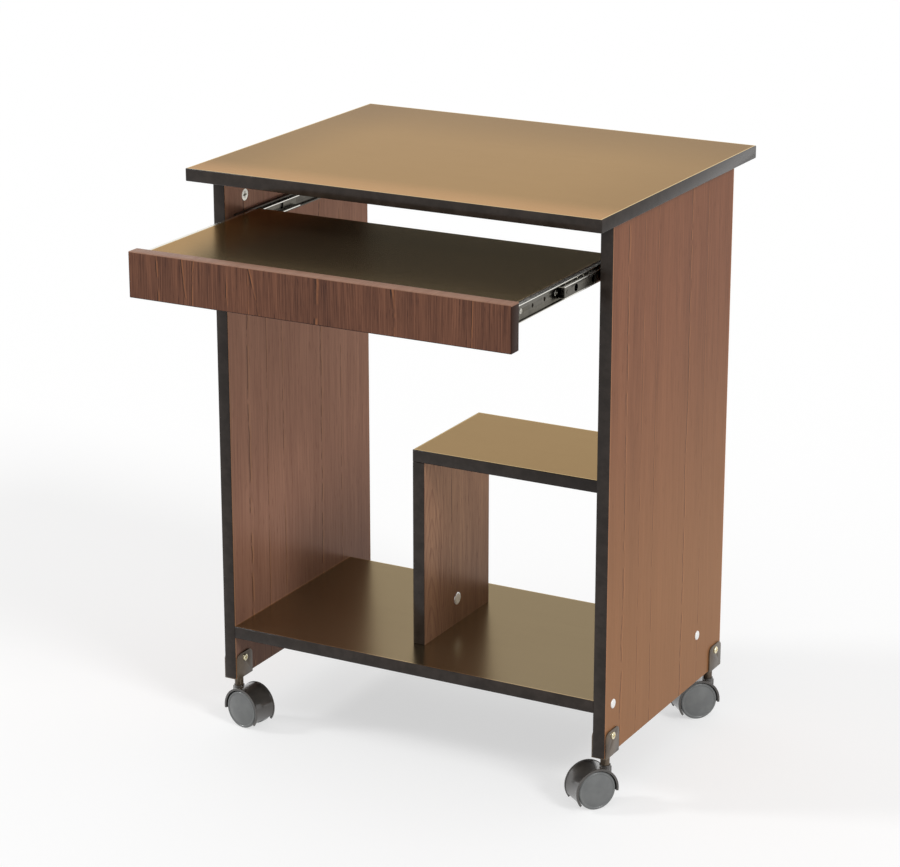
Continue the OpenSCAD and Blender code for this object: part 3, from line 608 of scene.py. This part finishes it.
def solids_of(name):
    """The box of each separate solid of a node."""
    shape = merged_copy(name)
    boxes = []
    unseen = set(shape.verts)
    while unseen:
        heap = [unseen.pop()]
        found = []
        while heap:
            vertex = heap.pop()
            found.append(vertex.co.copy())
            for edge in vertex.link_edges:
                other = edge.other_vert(vertex)
                if other in unseen:
                    unseen.remove(other)
                    heap.append(other)
        boxes.append(tuple(Vector(pick(co[i] for co in found) for i in range(3)) for pick in (min, max)))
    shape.free()
    return sorted(boxes, key=lambda box: tuple(round(v, 5) for v in box[0]))


class Fitting(Graph):
    """A geometry tree that puts one fitting on each point of a mesh, turned to its facing."""

    def __init__(self, name, sizes):
        super().__init__(bpy.data.node_groups.new(name, "GeometryNodeTree"))
        face = self.tree.interface
        face.new_socket(name="Points", in_out="INPUT", socket_type="NodeSocketGeometry")
        for size in sizes:
            face.new_socket(name=size, in_out="INPUT", socket_type="NodeSocketFloat")
        face.new_socket(name="Finish", in_out="INPUT", socket_type="NodeSocketMaterial")
        face.new_socket(name="Fittings", in_out="OUTPUT", socket_type="NodeSocketGeometry")
        entry = self.tree.nodes.new("NodeGroupInput")
        self.given = {socket.name: Signal(self, socket) for socket in entry.outputs if socket.name}

    def close(self, shape):
        """Sets the shape out on the points and ends the tree."""
        facing = self.node("GeometryNodeInputNamedAttribute", {"data_type": "FLOAT_VECTOR"},
                           {"Name": "facing"})
        turn = self.node("FunctionNodeAlignRotationToVector", {"axis": "Z"}, {"Vector": facing})
        spread = self.node("GeometryNodeInstanceOnPoints", {},
                           {"Points": self.given["Points"], "Instance": shape, "Rotation": turn})
        real = self.node("GeometryNodeRealizeInstances", {}, {0: spread})
        done = self.node("GeometryNodeSetMaterial", {}, {"Geometry": real, "Material": self.given["Finish"]})
        self.node("NodeGroupOutput", {}, {0: done})
        return self.tree


def domed_drum(fitting, radius, height, dome):
    """A drum that stands on z = 0, with its upper edge drawn in to a dome."""
    drum = fitting.node("GeometryNodeMeshCylinder", {}, {**drum_grid, "Radius": radius, "Depth": height})
    x, y, z = fitting.parts(fitting.node("GeometryNodeInputPosition"))
    part = z / height + 0.5
    shrink = (1 - (part * dome) ** dome_power).math("MAXIMUM", dome_least) ** 0.5
    place = fitting.point(x * shrink, y * shrink, z + height * 0.5)
    shaped = fitting.node("GeometryNodeSetPosition", {}, {"Geometry": drum, "Position": place})
    return fitting.node("GeometryNodeSetShadeSmooth", {}, {"Geometry": shaped})


def cross_head_tree():
    """A domed screw head with a cross recess, on a short shank."""
    fitting = Fitting("cross head", ["Head Radius", "Head Height", "Recess Width", "Shank Radius",
                                     "Shank Length"])
    size = fitting.given
    head = domed_drum(fitting, size["Head Radius"], size["Head Height"], head_dome)
    bars = []
    for lengthways in (0, 1):
        reach = size["Head Radius"] * recess_reach
        sides = [size["Recess Width"], reach] if lengthways else [reach, size["Recess Width"]]
        bar = fitting.node("GeometryNodeMeshCube", {}, {"Size": fitting.point(*sides, size["Head Height"])})
        lift = fitting.point(0.0, 0.0, size["Head Height"] * recess_lift)
        bars.append(fitting.node("GeometryNodeTransform", {}, {"Geometry": bar, "Translation": lift}))
    cut = fitting.node("GeometryNodeMeshBoolean", {"operation": "DIFFERENCE", "solver": "EXACT"},
                       {"Mesh 1": head, "Mesh 2": bars})
    shank = fitting.node("GeometryNodeMeshCylinder", {}, {"Vertices": 16, "Radius": size["Shank Radius"],
                                                          "Depth": size["Shank Length"]})
    drop = fitting.point(0.0, 0.0, size["Shank Length"] * -0.5)
    shank = fitting.node("GeometryNodeTransform", {}, {"Geometry": shank, "Translation": drop})
    return fitting.close(fitting.node("GeometryNodeJoinGeometry", {}, {0: [cut, shank]}))


def cap_tree():
    """A domed push-in cap."""
    fitting = Fitting("push-in cap", ["Cap Radius", "Cap Height"])
    size = fitting.given
    return fitting.close(domed_drum(fitting, size["Cap Radius"], size["Cap Height"], cap_dome))


def ball_tree():
    fitting = Fitting("ball", ["Ball Radius"])
    ball = fitting.node("GeometryNodeMeshIcoSphere", {},
                        {"Radius": fitting.given["Ball Radius"], "Subdivisions": 2})
    return fitting.close(fitting.node("GeometryNodeSetShadeSmooth", {}, {"Geometry": ball}))


def set_out(tree, name, points, sizes, *replaced):
    """Runs a fitting's tree on points, each a place and a facing, and keeps the result as a mesh."""
    mesh = bpy.data.meshes.new(name + "_points")
    mesh.from_pydata([place for place, facing in points], [], [])
    facings = mesh.attributes.new("facing", "FLOAT_VECTOR", "POINT")
    for item, (place, facing) in zip(facings.data, points):
        item.vector = facing
    holder = bpy.data.objects.new(name + "_points", mesh)
    bpy.context.scene.collection.objects.link(holder)
    modifier = holder.modifiers.new("fittings", "NODES")
    modifier.node_group = tree
    wanted = dict(sizes, Finish=nodes[replaced[0]].data.materials[0])
    for socket in tree.interface.items_tree:
        if socket.name in wanted:
            modifier[socket.identifier] = wanted[socket.name]
    graph = bpy.context.evaluated_depsgraph_get()
    made = bpy.data.meshes.new_from_object(holder.evaluated_get(graph), depsgraph=graph)
    holder.modifiers.clear()
    bpy.data.objects.remove(holder)
    return stand_in(name, made, *replaced)


def across_table(name, inwards, head_height):
    """Head places of fasteners that lie across the table, on their inward or outward ends."""
    points = []
    for low, high in solids_of(name):
        middle = (low + high) / 2
        outer = high.x if middle.x > 0 else low.x
        inner = low.x if middle.x > 0 else high.x
        side = math.copysign(1.0, middle.x) * (-1 if inwards else 1)
        face = (inner if inwards else outer) - side * head_height
        points.append(((face, middle.y, middle.z), (side, 0.0, 0.0)))
    return points


def radius_of(name):
    """Half the height of a node's first solid, where all of its solids are alike and round."""
    low, high = solids_of(name)[0]
    return (high.z - low.z) / 2


def make_fasteners():
    cross_head = cross_head_tree()
    bolt = {"Head Height": 1.8 * mm, "Recess Width": 1.2 * mm, "Shank Radius": 3 * mm,
            "Shank Length": 2 * mm}
    screw = {"Head Height": 1.0 * mm, "Recess Width": 0.8 * mm, "Shank Radius": 1.7 * mm,
             "Shank Length": 12 * mm}
    for name, kind, inwards in (("bracket_bolts", bolt, False), ("bracket_sleeve_nuts", bolt, True),
                                ("cabinet_rail_screws", screw, True), ("tray_rail_screws", screw, False)):
        points = across_table(name, inwards, kind["Head Height"])
        set_out(cross_head, name + "_cross", points, {**kind, "Head Radius": radius_of(name)}, name)


def make_caps():
    cap = cap_tree()
    rim = 1.5 * mm
    set_out(cap, "screw_caps_domed", across_table("screw_caps", False, rim),
            {"Cap Radius": radius_of("screw_caps"), "Cap Height": rim}, "screw_caps")
    low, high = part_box("cam_cover")
    cover = 1.2 * mm
    place = (high[0] - cover, (low[1] + high[1]) / 2, (low[2] + high[2]) / 2)
    set_out(cap, "cam_cover_domed", [(place, (1.0, 0.0, 0.0))],
            {"Cap Radius": (high[2] - low[2]) / 2, "Cap Height": cover}, "cam_cover")


def make_balls():
    ball = ball_tree()
    for name in ("outer_balls", "inner_balls"):
        points = [((low + high) / 2, (0.0, 0.0, 1.0)) for low, high in solids_of(name)]
        set_out(ball, name + "_rows", points, {"Ball Radius": radius_of(name)}, name)


# Floor and light

world_level = 0.55
floor_level = 0.5
floor_radius = 14
floor_corners = 96
sun_left = {"towards": (-0.78, -0.36, 0.52), "strength": 0.8, "angle": 10}
sun_right = {"towards": (0.8, -0.3, 0.6), "strength": 1.1, "angle": 16}


def lit_floor_level():
    """How bright the floor is where no shadow falls."""
    suns = sum(sun["strength"] * Vector(sun["towards"]).normalized().z for sun in (sun_left, sun_right))
    return floor_level * (world_level + suns / math.pi)


def seen_directly(graph):
    """1 for the rays of the camera, of a reflection and of glass, and 0 for the rest."""
    rays = [graph.node("ShaderNodeLightPath", output=ray) for ray in (camera_ray, reflected_ray, glass_ray)]
    return (rays[0] + rays[1] + rays[2]).math("MINIMUM", 1.0)


def make_stage():
    bpy.ops.mesh.primitive_circle_add(vertices=floor_corners, radius=floor_radius, fill_type="NGON")
    floor = bpy.context.object
    floor.name = "floor"
    finish = Finish("pale floor")
    paper = finish.node("ShaderNodeBsdfDiffuse", {}, {"Color": (floor_level, floor_level, floor_level, 1)})
    lift = seen_directly(finish) * (1 - lit_floor_level())
    glow = finish.node("ShaderNodeEmission", {}, {"Strength": lift})
    both = finish.node("ShaderNodeAddShader", {}, {0: paper, 1: glow})
    finish.node("ShaderNodeOutputMaterial", {}, {"Surface": both})
    floor.data.materials.append(finish.material)


def make_world():
    world = bpy.data.worlds.new("studio")
    bpy.context.scene.world = world
    world.use_nodes = True
    sky = Graph(world.node_tree)
    sky.tree.nodes.clear()
    level = seen_directly(sky) * (1 - world_level) + world_level
    back = sky.node("ShaderNodeBackground", {}, {"Color": (1, 1, 1, 1), "Strength": level})
    sky.node("ShaderNodeOutputWorld", {}, {"Surface": back})


def add_sun(name, towards, strength, angle):
    data = bpy.data.lights.new(name, "SUN")
    data.energy = strength
    data.angle = math.radians(angle)
    lamp = bpy.data.objects.new(name, data)
    lamp.rotation_euler = Vector(towards).to_track_quat("Z", "Y").to_euler()
    bpy.context.scene.collection.objects.link(lamp)


make_camera()
dress_flat_boards()
dress_standing_boards()
dress_tray_front()
dress_fittings()
soften_all()
make_fasteners()
make_caps()
make_balls()
make_stage()
make_world()
add_sun("left sun", **sun_left)
add_sun("right sun", **sun_right)
bpy.context.scene.view_settings.view_transform = "Standard"
